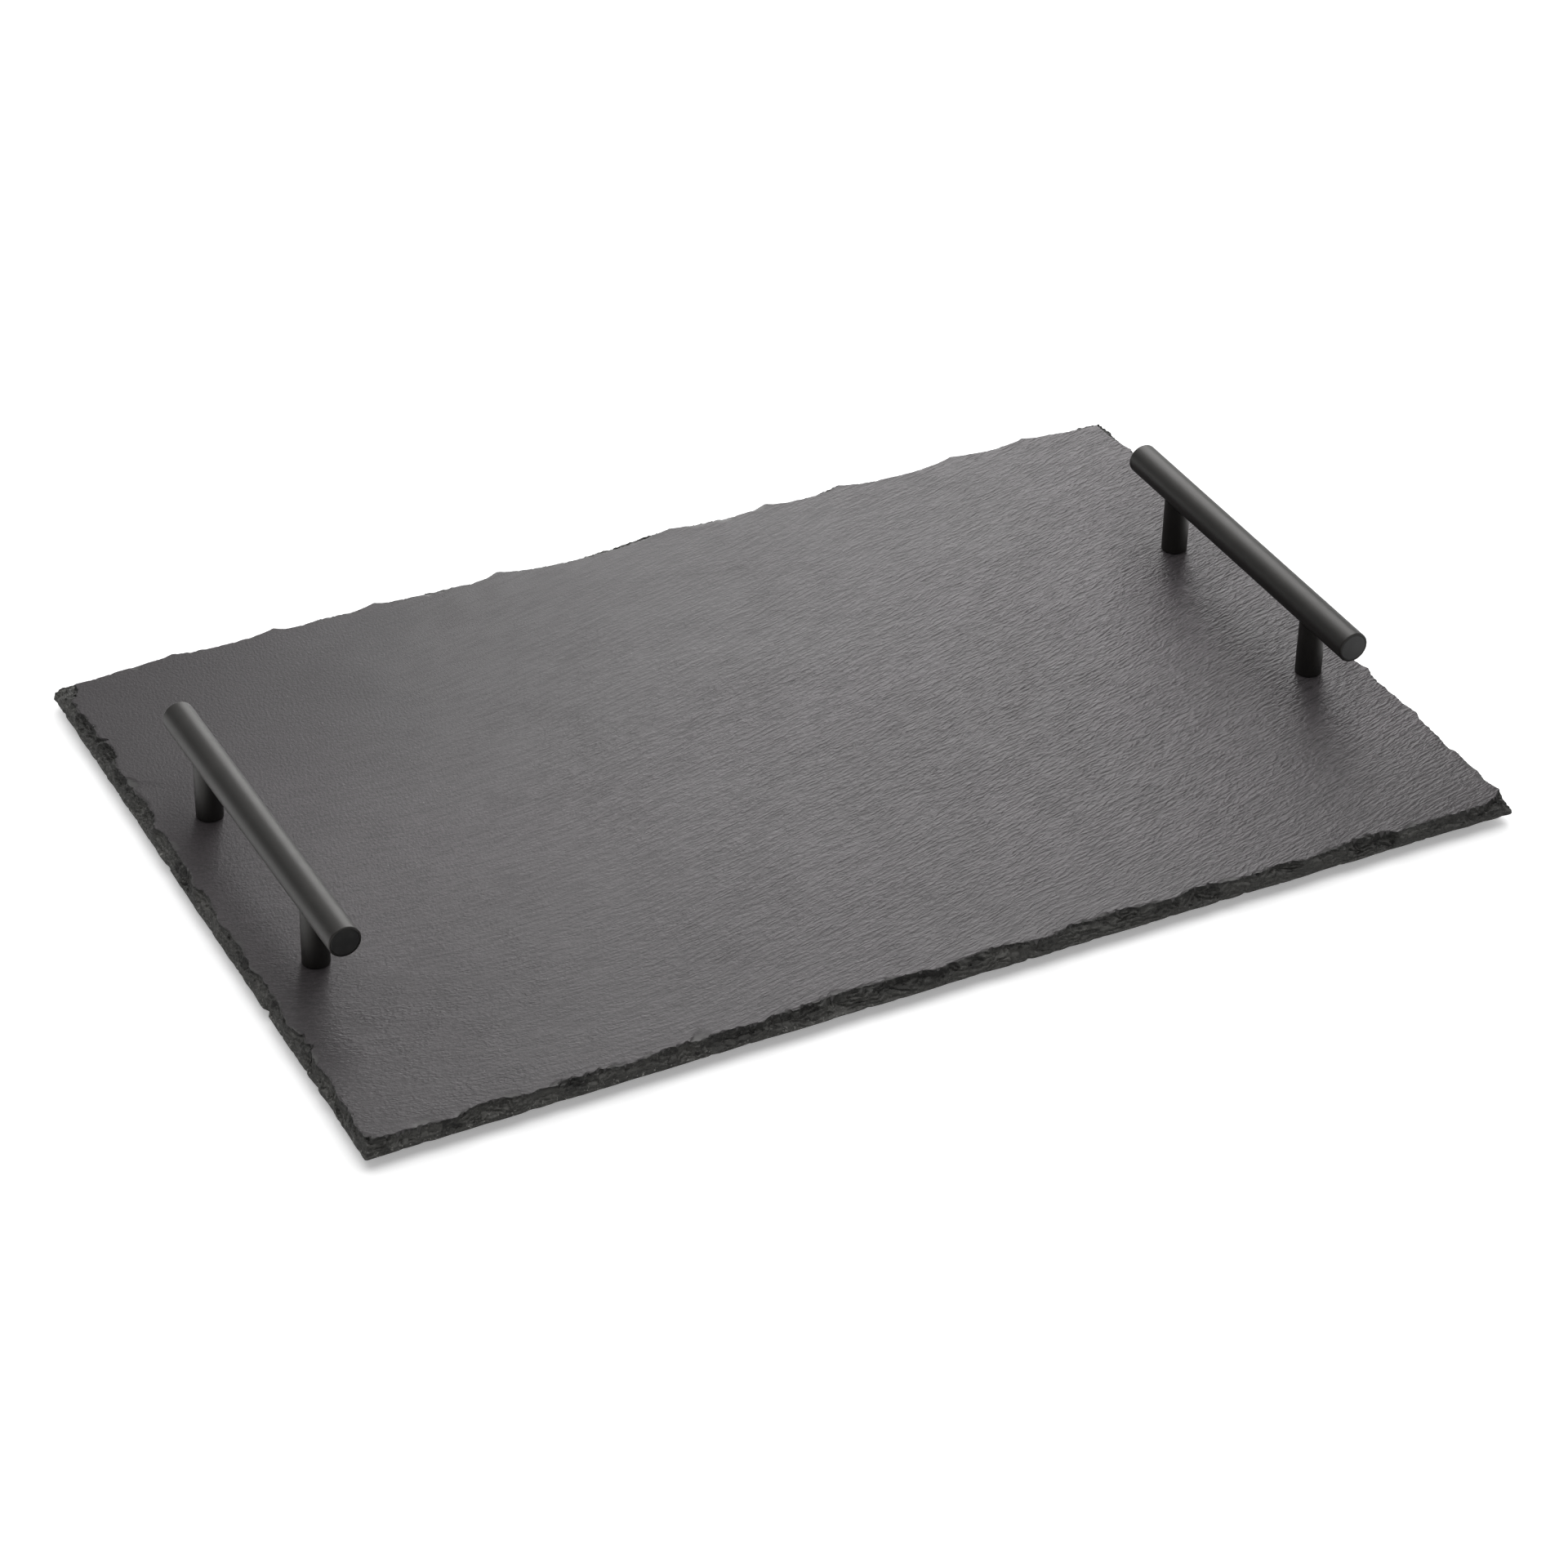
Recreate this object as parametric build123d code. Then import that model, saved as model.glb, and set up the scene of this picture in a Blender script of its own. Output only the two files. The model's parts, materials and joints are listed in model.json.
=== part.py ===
from build123d import *
import os
import random

# Slate serving tray with two bar handles. Millimetres, +Z up, +X along the long side, +Y to the rear.
# The origin is at the middle of the resting plane, under the feet.

# Slate: a riven plate whose edges are dressed from the top, so the top outline is set back.
SLATE_LENGTH = 450.0
SLATE_WIDTH = 300.0
SLATE_THICKNESS = 6.0
SLATE_LEAN = 2.0            # how far each corner is out of square along X
EDGE_WANDER = 0.5           # most that the underside outline wanders inwards
LIP_HEIGHT = 1.8            # height of the steep lip at the foot of the dressed edge
LIP_ROUGHNESS = 0.6         # how far the lip's height varies
LIP_SHARE = 0.25            # share of the setback that is lost at the top of the lip
CUSP_SETBACK = 1.8          # setback of the top outline where two chips meet
CHIP_ROUGHNESS = 0.5        # how far the setback varies inside a chip
FACET_LENGTH = 5.5          # about how long one facet of a chip is
CHIP_FLATNESS = 2.4         # how flat a chip's floor is between its two cusps
CORNER_SETBACK = 4.5        # setback of the top outline at the corners
CORNER_MARGIN = 9.0         # the chips of a side start this far from its corners

# Chips along each side, in the order front, right, rear, left, each side run counter-clockwise.
# A chip is the share of the side where it starts, and its depth at the middle.
FRONT_CHIPS = ((0.00, 2.6), (0.05, 3.6), (0.12, 2.4), (0.20, 2.8), (0.31, 4.0), (0.47, 2.8),
               (0.57, 3.2), (0.69, 2.8), (0.76, 2.2), (0.83, 4.4), (0.91, 2.6))
RIGHT_CHIPS = ((0.00, 2.2), (0.05, 2.9), (0.19, 2.4), (0.31, 2.6), (0.45, 2.4), (0.56, 3.2),
               (0.71, 2.2), (0.82, 2.8), (0.95, 2.4))
REAR_CHIPS = ((0.00, 3.6), (0.07, 3.8), (0.15, 4.6), (0.26, 3.8), (0.33, 4.0), (0.43, 4.6),
              (0.60, 4.2), (0.72, 3.4), (0.82, 3.8), (0.91, 4.0))
LEFT_CHIPS = ((0.00, 3.4), (0.06, 5.6), (0.20, 4.2), (0.33, 2.4), (0.46, 2.2), (0.56, 2.0),
              (0.66, 2.6), (0.78, 3.6), (0.86, 2.2), (0.93, 2.0))
CHIP_SEED = 7

# Handles: a tube on two posts, at a standard 96 mm spacing.
LEFT_HANDLE_INSET = 23.0    # from the slate's nominal left end to the bar's axis
RIGHT_HANDLE_INSET = 24.0   # from the slate's nominal right end to the bar's axis
LEFT_HANDLE_SHIFT = -3.0    # handle's middle along Y
RIGHT_HANDLE_SHIFT = 2.0
POST_SPACING = 96.0
POST_DIAMETER = 10.0
POST_EDGE = 0.4             # eased edge at the post's foot
PROJECTION = 32.0           # from the slate's top to the top of the bar
BAR_DIAMETER = 12.0
BAR_WALL = 0.7
BAR_OVERHANG = 27.0         # from a post's axis to the bar's end
BAR_EDGE = 0.6              # rounded rim of the tube
PLUG_LENGTH = 8.0
PLUG_EDGE = 0.2
NUT_LENGTH = 14.0

# Fasteners
STUD_DIAMETER = 5.0
STUD_IN_POST = 6.5
STUD_RECESS = 2.4           # from the stud's upper end to the top of the nut
POST_WEB = 3.5              # metal left in a post between its two blind holes
SCREW_DIAMETER = 4.0
SCREW_TIP_ROOM = 0.8        # from the screw's tip to the bottom of its hole
HEAD_DIAMETER = 8.0
HEAD_HEIGHT = 2.7
HEAD_EDGE = 1.0
RECESS_SPAN = 4.4           # cross recess in the screw's head
RECESS_WIDTH = 1.0
RECESS_DEPTH = 1.6
WASHER_DIAMETER = 9.0
WASHER_THICKNESS = 0.8

# Feet: stick-on rubber bumpers.
FOOT_HEIGHT = 5.0
FOOT_TOP_DIAMETER = 14.0
FOOT_DRAFT = 1.0            # how much smaller the foot's radius is at the floor
FOOT_EDGE = 0.8
FOOT_INSET_X = 30.0         # from the slate's nominal ends to a foot's axis
FOOT_INSET_Y = 30.0

# Clearances, each all round or from face to face.
SEAT_GAP = 0.05             # saddle on bar, plug and nut in bar, threads in their holes
SLATE_HOLE_GAP = 0.25       # screw in the slate
WASHER_GAP = 0.15           # screw in its washer

# Places worked out from the sizes above.
SLATE_BOTTOM = FOOT_HEIGHT
SLATE_TOP = SLATE_BOTTOM + SLATE_THICKNESS
BAR_RADIUS = BAR_DIAMETER / 2
BORE_RADIUS = BAR_RADIUS - BAR_WALL
BAR_AXIS_Z = SLATE_TOP + PROJECTION - BAR_RADIUS
BAR_LENGTH = POST_SPACING + 2 * BAR_OVERHANG
SADDLE_Z = BAR_AXIS_Z - BAR_RADIUS - SEAT_GAP
INSERT_RADIUS = BORE_RADIUS - SEAT_GAP
STUD_BOTTOM = SADDLE_Z - STUD_IN_POST
STUD_TOP = BAR_AXIS_Z + INSERT_RADIUS - STUD_RECESS
STUD_HOLE_RADIUS = STUD_DIAMETER / 2 + SEAT_GAP
SCREW_HOLE_TOP = STUD_BOTTOM - POST_WEB
SCREW_TIP = SCREW_HOLE_TOP - SCREW_TIP_ROOM
SCREW_HOLE_RADIUS = SCREW_DIAMETER / 2 + SEAT_GAP
HEAD_TOP = SLATE_BOTTOM - WASHER_THICKNESS
HEAD_BOTTOM = HEAD_TOP - HEAD_HEIGHT

HANDLES = {
    "left": (LEFT_HANDLE_INSET - SLATE_LENGTH / 2, LEFT_HANDLE_SHIFT),
    "right": (SLATE_LENGTH / 2 - RIGHT_HANDLE_INSET, RIGHT_HANDLE_SHIFT),
}
ENDS = {"front": -1, "rear": 1}
UPRIGHT = (Align.CENTER, Align.CENTER, Align.MIN)


def rod(radius, bottom, top):
    """An upright cylinder on the Z axis between two heights."""
    return Pos(0, 0, bottom) * Cylinder(radius, top - bottom, align=UPRIGHT)


def level_rod(radius, length):
    """A cylinder along Y, centred on the bar's axis over the origin."""
    return Pos(0, 0, BAR_AXIS_Z) * Rot(90, 0, 0) * Cylinder(radius, length)


def post_places():
    """Each post's name and the place of its axis."""
    for side, (x, shift) in HANDLES.items():
        for end, sign in ENDS.items():
            yield f"{side}_{end}", x, shift + sign * POST_SPACING / 2


def edge_stations():
    """Underside, lip and top points all round the slate's dressed edge, counter-clockwise."""
    dice = random.Random(CHIP_SEED)
    half_length = SLATE_LENGTH / 2
    half_width = SLATE_WIDTH / 2
    corners = [
        Vector(-half_length - SLATE_LEAN, -half_width),
        Vector(half_length - SLATE_LEAN, -half_width),
        Vector(half_length + SLATE_LEAN, half_width),
        Vector(-half_length + SLATE_LEAN, half_width),
    ]
    stations = []

    def add(outer, inward, setback):
        lip_height = LIP_HEIGHT + dice.uniform(-LIP_ROUGHNESS, LIP_ROUGHNESS)
        low = outer + Vector(0, 0, SLATE_BOTTOM)
        lip = outer + inward * (setback * LIP_SHARE) + Vector(0, 0, SLATE_BOTTOM + lip_height)
        high = outer + inward * setback + Vector(0, 0, SLATE_TOP)
        stations.append((low, lip, high))

    for index, chips in enumerate((FRONT_CHIPS, RIGHT_CHIPS, REAR_CHIPS, LEFT_CHIPS)):
        corner = corners[index]
        along = corners[(index + 1) % 4] - corner
        before = corner - corners[index - 1]
        length = along.length
        along = along.normalized()
        inward = along.rotate(Axis.Z, 90)
        diagonal = along - before.normalized()
        add(corner, diagonal, CORNER_SETBACK)
        chip_ends = [start for start, depth in chips[1:]] + [1.0]
        reach = length - 2 * CORNER_MARGIN
        for (start, depth), stop in zip(chips, chip_ends):
            steps = max(2, round(reach * (stop - start) / FACET_LENGTH))
            for step in range(steps):
                share = step / steps
                place = CORNER_MARGIN + reach * (start + (stop - start) * share)
                setback = CUSP_SETBACK + depth * (1 - abs(2 * share - 1) ** CHIP_FLATNESS)
                if step:
                    setback += dice.uniform(-CHIP_ROUGHNESS, CHIP_ROUGHNESS)
                wander = dice.uniform(0, EDGE_WANDER)
                add(corner + along * place + inward * wander, inward, setback)
        add(corner + along * (length - CORNER_MARGIN), inward, CUSP_SETBACK)
    return stations


def slate_board():
    """The slate: flat riven faces, a faceted dressed edge, and a hole for each screw."""
    stations = edge_stations()
    lows, lips, highs = zip(*stations)
    faces = [
        Face(Wire.make_polygon(lows)),
        Face(Wire.make_polygon(highs)),
    ]
    for outer, inner in ((lows, lips), (lips, highs)):
        for i, corner in enumerate(outer):
            after = (i + 1) % len(outer)
            faces.append(Face(Wire.make_polygon((corner, outer[after], inner[after]))))
            faces.append(Face(Wire.make_polygon((corner, inner[after], inner[i]))))
    slate = Solid(Shell(faces))
    hole_radius = SCREW_DIAMETER / 2 + SLATE_HOLE_GAP
    for name, x, y in post_places():
        slate -= Pos(x, y) * rod(hole_radius, SLATE_BOTTOM, SLATE_TOP)
    return slate


def bar():
    """The handle's tube, with rounded rims and a hole in its underside for each stud."""
    tube = fillet(level_rod(BAR_RADIUS, BAR_LENGTH).edges(), BAR_EDGE)
    tube -= level_rod(BORE_RADIUS, BAR_LENGTH)
    for sign in ENDS.values():
        tube -= Pos(0, sign * POST_SPACING / 2) * rod(STUD_HOLE_RADIUS, SADDLE_Z, BAR_AXIS_Z)
    return tube


def end_plug(sign):
    """The disc that closes one end of the bar, pressed in flush with the rim."""
    plug = chamfer(level_rod(INSERT_RADIUS, PLUG_LENGTH).edges(), PLUG_EDGE)
    return Pos(0, sign * (BAR_LENGTH - PLUG_LENGTH) / 2) * plug


def post():
    """A post: saddle on top, blind holes for the stud above and the screw below."""
    shaft = rod(POST_DIAMETER / 2, SLATE_TOP, BAR_AXIS_Z)
    shaft = chamfer(shaft.edges().sort_by(Axis.Z)[0], POST_EDGE)
    shaft -= level_rod(BAR_RADIUS + SEAT_GAP, 2 * POST_DIAMETER)
    shaft -= rod(STUD_HOLE_RADIUS, STUD_BOTTOM, BAR_AXIS_Z)
    return shaft - rod(SCREW_HOLE_RADIUS, SLATE_TOP, SCREW_HOLE_TOP)


def bar_nut():
    """The barrel nut inside the bar, tapped across for the stud."""
    return level_rod(INSERT_RADIUS, NUT_LENGTH) - rod(STUD_HOLE_RADIUS, SADDLE_Z, SLATE_TOP + PROJECTION)


def stud():
    """The headless stud between a post and its nut."""
    return rod(STUD_DIAMETER / 2, STUD_BOTTOM, STUD_TOP)


def screw():
    """A pan-head screw with a cross recess, up through the washer and the slate into a post."""
    head = rod(HEAD_DIAMETER / 2, HEAD_BOTTOM, HEAD_TOP)
    head = fillet(head.edges().sort_by(Axis.Z)[0], HEAD_EDGE)
    for size in ((RECESS_SPAN, RECESS_WIDTH), (RECESS_WIDTH, RECESS_SPAN)):
        head -= Pos(0, 0, HEAD_BOTTOM) * Box(*size, RECESS_DEPTH, align=UPRIGHT)
    return head + rod(SCREW_DIAMETER / 2, HEAD_TOP, SCREW_TIP)


def washer():
    """A plain washer between the screw's head and the slate."""
    ring = rod(WASHER_DIAMETER / 2, HEAD_TOP, SLATE_BOTTOM)
    return ring - rod(SCREW_DIAMETER / 2 + WASHER_GAP, HEAD_TOP, SLATE_BOTTOM)


def foot():
    """A rubber foot: a drafted disc with a rounded lower edge, stuck to the underside."""
    top_radius = FOOT_TOP_DIAMETER / 2
    body = Cone(top_radius - FOOT_DRAFT, top_radius, FOOT_HEIGHT, align=UPRIGHT)
    return fillet(body.edges().sort_by(Axis.Z)[0], FOOT_EDGE)


nodes = {"slate_board": slate_board()}
for side, (x, shift) in HANDLES.items():
    nodes[f"{side}_bar"] = Pos(x, shift) * bar()
    for end, sign in ENDS.items():
        nodes[f"{side}_{end}_end_plug"] = Pos(x, shift) * end_plug(sign)
for name, x, y in post_places():
    for piece in (post, bar_nut, stud, screw, washer):
        nodes[f"{name}_{piece.__name__}"] = Pos(x, y) * piece()
for end, end_sign in ENDS.items():
    for side, side_sign in (("left", -1), ("right", 1)):
        x = side_sign * (SLATE_LENGTH / 2 - FOOT_INSET_X)
        y = end_sign * (SLATE_WIDTH / 2 - FOOT_INSET_Y)
        nodes[f"{end}_{side}_foot"] = Pos(x, y) * foot()

os.makedirs("parts", exist_ok=True)
for name, piece in nodes.items():
    piece.label = name
    export_step(piece, f"parts/{name}.step")
    print(name, round(piece.volume, 1), "mm3")
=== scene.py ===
import json
import math
import random

import bmesh
import bpy
import numpy as np
from mathutils import Matrix, Vector, noise

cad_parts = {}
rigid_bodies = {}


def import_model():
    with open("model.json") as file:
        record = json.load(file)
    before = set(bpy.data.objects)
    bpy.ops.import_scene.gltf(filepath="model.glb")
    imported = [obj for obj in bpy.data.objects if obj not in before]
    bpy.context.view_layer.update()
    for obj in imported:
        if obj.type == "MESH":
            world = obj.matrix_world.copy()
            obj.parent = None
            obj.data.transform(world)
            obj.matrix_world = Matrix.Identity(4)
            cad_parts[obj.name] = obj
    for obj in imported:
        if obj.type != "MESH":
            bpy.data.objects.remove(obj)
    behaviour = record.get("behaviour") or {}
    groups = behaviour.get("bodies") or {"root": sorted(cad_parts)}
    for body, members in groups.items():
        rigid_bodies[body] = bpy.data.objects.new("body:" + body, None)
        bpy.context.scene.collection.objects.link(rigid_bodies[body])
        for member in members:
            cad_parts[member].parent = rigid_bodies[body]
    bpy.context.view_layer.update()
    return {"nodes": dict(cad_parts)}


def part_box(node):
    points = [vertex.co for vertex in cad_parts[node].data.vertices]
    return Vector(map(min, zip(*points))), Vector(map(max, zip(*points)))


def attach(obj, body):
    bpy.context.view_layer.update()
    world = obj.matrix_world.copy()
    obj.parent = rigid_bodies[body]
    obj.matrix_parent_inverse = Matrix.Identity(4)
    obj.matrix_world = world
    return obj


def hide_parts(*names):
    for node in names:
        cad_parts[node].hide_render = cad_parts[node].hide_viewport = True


for start_up in list(bpy.data.objects):
    bpy.data.objects.remove(start_up)

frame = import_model()


# The slate: one riven slab, about 450 x 300 x 6 mm, split along its cleavage so that both faces keep their
# natural grain. Its four edges are knocked back by hand from the top face, which leaves shell-shaped
# chips, thin cleavage ledges and a nearly straight lower lip. Its mesh is worked out in mm.

MM = 0.001
WELD = 1e-6
LEVEL_SLACK = 0.01
slate_low, slate_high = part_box("slate_board")
SLATE_UNDER = slate_low.z / MM
SLATE_TOP = slate_high.z / MM


def outline_rings(node):
    """The node's underside outline, lip and top outline: matched stations in mm, counter-clockwise."""
    solid = bmesh.new()
    solid.from_mesh(node.data)
    bmesh.ops.remove_doubles(solid, verts=solid.verts, dist=WELD)
    rings = []
    for level in ("under", "lip", "top"):
        def on_ring(vert):
            height = vert.co.z / MM
            if level == "under":
                return height < SLATE_UNDER + LEVEL_SLACK
            if level == "top":
                return height > SLATE_TOP - LEVEL_SLACK
            return SLATE_UNDER + LEVEL_SLACK < height < SLATE_TOP - LEVEL_SLACK
        neighbours = {}
        for edge in solid.edges:
            if not all(on_ring(vert) for vert in edge.verts):
                continue
            flat = [all(on_ring(vert) for vert in face.verts) for face in edge.link_faces]
            if level == "lip" or sum(flat) == 1:
                first, second = edge.verts
                neighbours.setdefault(first, []).append(second)
                neighbours.setdefault(second, []).append(first)
        walked = set()
        longest = []
        for start in neighbours:
            loop = []
            here = start
            while here is not None and here not in walked:
                walked.add(here)
                loop.append(here)
                here = next((vert for vert in neighbours[here] if vert not in walked), None)
            longest = max(longest, loop, key=len)
        ring = np.array([vert.co / MM for vert in longest])
        turned = np.roll(ring, -1, axis=0)
        if np.sum(ring[:, 0] * turned[:, 1] - ring[:, 1] * turned[:, 0]) < 0:
            ring = ring[::-1]
        rings.append(ring)
    solid.free()
    under = np.roll(rings[0], -int(np.argmin(rings[0][:, 0] + rings[0][:, 1])), axis=0)
    matched = [under]
    for ring in rings[1:]:
        def apart(shift):
            return np.abs(np.roll(ring, -shift, axis=0)[:, :2] - under[:, :2]).sum()
        matched.append(np.roll(ring, -min(range(len(ring)), key=apart), axis=0))
    return matched


under_ring, lip_ring, top_ring = outline_rings(frame["nodes"]["slate_board"])
STATIONS = len(under_ring)


def ring_at(ring, place, smooth=False):
    """Points of a ring at fractional stations, straight between stations or on a smooth curve."""
    first = np.floor(place).astype(int)
    share = (place - first)[:, None]
    before, here, after, beyond = (ring[(first + step) % STATIONS] for step in (-1, 0, 1, 2))
    if not smooth:
        return here * (1 - share) + after * share
    bend = 2 * before - 5 * here + 4 * after - beyond
    twist = 3 * (here - after) + beyond - before
    return here + 0.5 * share * (after - before + share * (bend + share * twist))


# Columns run round the outline from the front left corner, close enough to show the chips.
FRONT, RIGHT, REAR, LEFT = range(4)
LONG_COLUMNS = 696
SHORT_COLUMNS = 464
side_columns = [LONG_COLUMNS, SHORT_COLUMNS, LONG_COLUMNS, SHORT_COLUMNS]
corner_stations = [0]
for toward_x, toward_y in ((1, -1), (1, 1), (-1, 1)):
    corner_stations.append(int(np.argmax(under_ring[:, 0] * toward_x + under_ring[:, 1] * toward_y)))
corner_stations.append(STATIONS)
corners = np.array([under_ring[station % STATIONS][:2] for station in corner_stations[:4]])
side_runs = []
side_ins = []
side_lengths = []
column_places = []
for side in range(4):
    step = corners[(side + 1) % 4] - corners[side]
    side_lengths.append(np.linalg.norm(step))
    run = step / side_lengths[side]
    side_runs.append(run)
    side_ins.append(np.array([-run[1], run[0]]))
    stations = np.arange(corner_stations[side], corner_stations[side + 1] + 1)
    walk = under_ring[stations % STATIONS]
    gone = np.concatenate([[0], np.cumsum(np.linalg.norm(np.diff(walk, axis=0), axis=1))])
    evenly = np.linspace(0, gone[-1], side_columns[side], endpoint=False)
    column_places.append(np.interp(evenly, gone, stations))
column_places = np.concatenate(column_places)
COLUMNS = len(column_places)


def inset_ring(depth, coarse=1, ends_only=False):
    """Points round the plain outline moved in by a depth, one for every few columns, or its four corners."""
    ends = []
    for index in range(4):
        along, back = side_runs[index], -side_runs[index - 1]
        ends.append(corners[index] + (along + back) * depth / abs(along[0] * back[1] - along[1] * back[0]))
    if ends_only:
        return ends
    points = []
    for index in range(4):
        share = np.arange(side_columns[index] // coarse)[:, None] * coarse / side_columns[index]
        points.append(ends[index] * (1 - share) + ends[(index + 1) % 4] * share)
    return np.concatenate(points)


def along_and_in(points, side):
    """How far points lie along a side from its first corner, and how far in from it."""
    offset = points - corners[side]
    return offset @ side_runs[side], offset @ side_ins[side]


# The corners are knocked off a little, each by its own amount.
CORNER_KNOCKS = (0.5, 1.0, 1.6, 2.0)
CORNER_DRAW = 0.75


def blunt(points):
    """Points beyond a corner's flat are drawn back towards it."""
    points = points.copy()
    for index in range(4):
        out = np.sign(corners[index]) * math.sqrt(0.5)
        over = (points - corners[index]) @ out + CORNER_KNOCKS[index]
        points -= np.where(over > 0, CORNER_DRAW * over, 0)[:, None] * out
    return points


# Both faces are split, not cut, so they are slightly uneven, but flat where a post or foot sits.
SWELL_FADE = 0.9
SWELL_STEP = 2.1
RIVEN_DEPTH = 0.4
RIVEN_SWELL = (70.0, 34.0)
UNDER_SHARE = 0.6
POST_CLEAR = 7.0
FOOT_CLEAR = 10.0
CLEAR_WAY = 22.0


def middle_of(name):
    low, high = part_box(name)
    return ((low.x + high.x) / 2 / MM, (low.y + high.y) / 2 / MM)


post_spots = np.array([middle_of(name) for name in frame["nodes"] if name.endswith("_post")])
foot_spots = np.array([middle_of(name) for name in frame["nodes"] if name.endswith("_foot")])
under_spots = np.concatenate([foot_spots, post_spots])


def swells(points, size, octaves, seed):
    """Smooth noise between about -1 and 1 at points, with swells of a given size."""
    return np.array([noise.fractal((x / size[0], y / size[1], seed), SWELL_FADE, SWELL_STEP, octaves)
                     for x, y in points])


def eased(share):
    """A share from 0 to 1 that starts and ends gently."""
    share = np.clip(share, 0, 1)
    return share * share * (3 - 2 * share)


def riven_drop(points, seed, spots, clear):
    """How far a cleaved face lies below its highest level, none near the given spots."""
    drop = RIVEN_DEPTH * np.clip(0.5 - 0.55 * swells(points, RIVEN_SWELL, 3, seed), 0, 1)
    gap = np.min(np.linalg.norm(points[:, None, :] - spots[None], axis=2), axis=1)
    return drop * eased((gap - clear) / CLEAR_WAY)


def face_height(points):
    return SLATE_TOP - riven_drop(points, 0.0, post_spots, POST_CLEAR)


def under_height(points):
    return SLATE_UNDER + UNDER_SHARE * riven_drop(points, 7.0, under_spots, FOOT_CLEAR)


# The edge is first laid out along every column, from the lower outline inwards, at fine steps.
STEP_IN = 0.12
STEPS_IN = 96
FIELD_IN = 16.0
LEAST_LIP = 0.3
LEAST_EDGE = 0.8
under_line = blunt(ring_at(under_ring, column_places)[:, :2])
lip_line = ring_at(lip_ring, column_places)
rim_line = ring_at(top_ring, column_places, smooth=True)
field_ring = inset_ring(FIELD_IN)
dress = random.Random(41)

# Small bites along the lower outline, and the one larger notch in the left edge. Each has its side, its
# place along it, its half width and its depth.
NOTCH = (LEFT, 213.0, 2.4, 1.2)
BITE_PITCH = 9
BITE_FROM_CORNER = 4
BITE_ZONE = 3
bites = [NOTCH]
for side in range(4):
    for _ in range(int(side_lengths[side] / BITE_PITCH)):
        spot = dress.uniform(BITE_FROM_CORNER, side_lengths[side] - BITE_FROM_CORNER)
        half_width = dress.uniform(0.7, 2.6)
        bites.append((side, spot, half_width, dress.uniform(0.1, 0.45)))
for side, spot, half_width, depth in bites:
    along, inward = along_and_in(under_line, side)
    share = np.clip(1 - np.abs(along - spot) / half_width, 0, 1) * (np.abs(inward) < BITE_ZONE)
    under_line += (share * depth)[:, None] * side_ins[side]

in_way = field_ring - under_line
in_way /= np.linalg.norm(in_way, axis=1)[:, None]
depths = np.arange(STEPS_IN) * STEP_IN
spread = (under_line[:, None, :] + in_way[:, None, :] * depths[None, :, None]).reshape(-1, 2)


def per_step(values):
    return values.reshape(COLUMNS, STEPS_IN)


# Between the lip and the rim the edge is fuller in some places than in others.
FULL_SWELL = (13.0, 1.0)
RIM_OVER = 0.2
lip_in = np.maximum(LEAST_LIP, np.sum((lip_line[:, :2] - under_line) * in_way, axis=1))
rim_in = np.maximum(lip_in + LEAST_EDGE, np.sum((rim_line[:, :2] - under_line) * in_way, axis=1))
face_level = per_step(face_height(spread))
edge_run = np.concatenate([[0], np.cumsum(np.linalg.norm(np.diff(under_line, axis=0), axis=1))])
edge_places = np.stack([edge_run, np.zeros(COLUMNS)], axis=1)
fullness = np.clip(0.5 + 0.8 * swells(edge_places, FULL_SWELL, 2, 3.0), 0, 1)
bulge_in = lip_in + (rim_in - lip_in) * (0.5 - 0.36 * fullness)
bulge_level = lip_line[:, 2] + (SLATE_TOP - lip_line[:, 2]) * (0.5 + 0.14 * fullness)
edge_level = np.empty((COLUMNS, STEPS_IN))
for column in range(COLUMNS):
    reaches = [0, lip_in[column], bulge_in[column], rim_in[column]]
    levels = [SLATE_UNDER, lip_line[column, 2], bulge_level[column], SLATE_TOP + RIM_OVER]
    edge_level[column] = np.interp(depths, reaches, levels)
edge_level = np.minimum(edge_level, face_level)
edge_tone = np.full((COLUMNS, STEPS_IN), 0.6)
edge_ring = np.zeros((COLUMNS, STEPS_IN))

# Every dressing blow knocks out a shell: wide along the edge, with a floor that follows the cleavage and
# falls a little outwards, and a steep wall at its back. A narrow blow can't go deep. Broken outlines are
# ragged, by up to about a millimetre, and most of all on the front and the left.
SIDE_RAGGEDNESS = (1.0, 0.45, 0.35, 1.0)
RAGGED_WIDTH = 5
RAGGED_REACH = 3
SHELL_MARGIN = 3
SHELL_ZONE = 14
DEPTH_FOR_WIDTH = 1.4
WALL_OVER = 0.3
OUT_OF_THE_WAY = 9
LEAST_CUT = 0.03
side_along = []
side_inward = []
for side in range(4):
    along, inward = along_and_in(spread, side)
    side_along.append(per_step(along))
    side_inward.append(per_step(inward))
ragged_along = 1.6 * per_step(swells(spread, (4.5, 4.5), 3, 21.0))
ragged_in = 0.9 * per_step(swells(spread, (3.4, 3.4), 3, 27.0))


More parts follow.
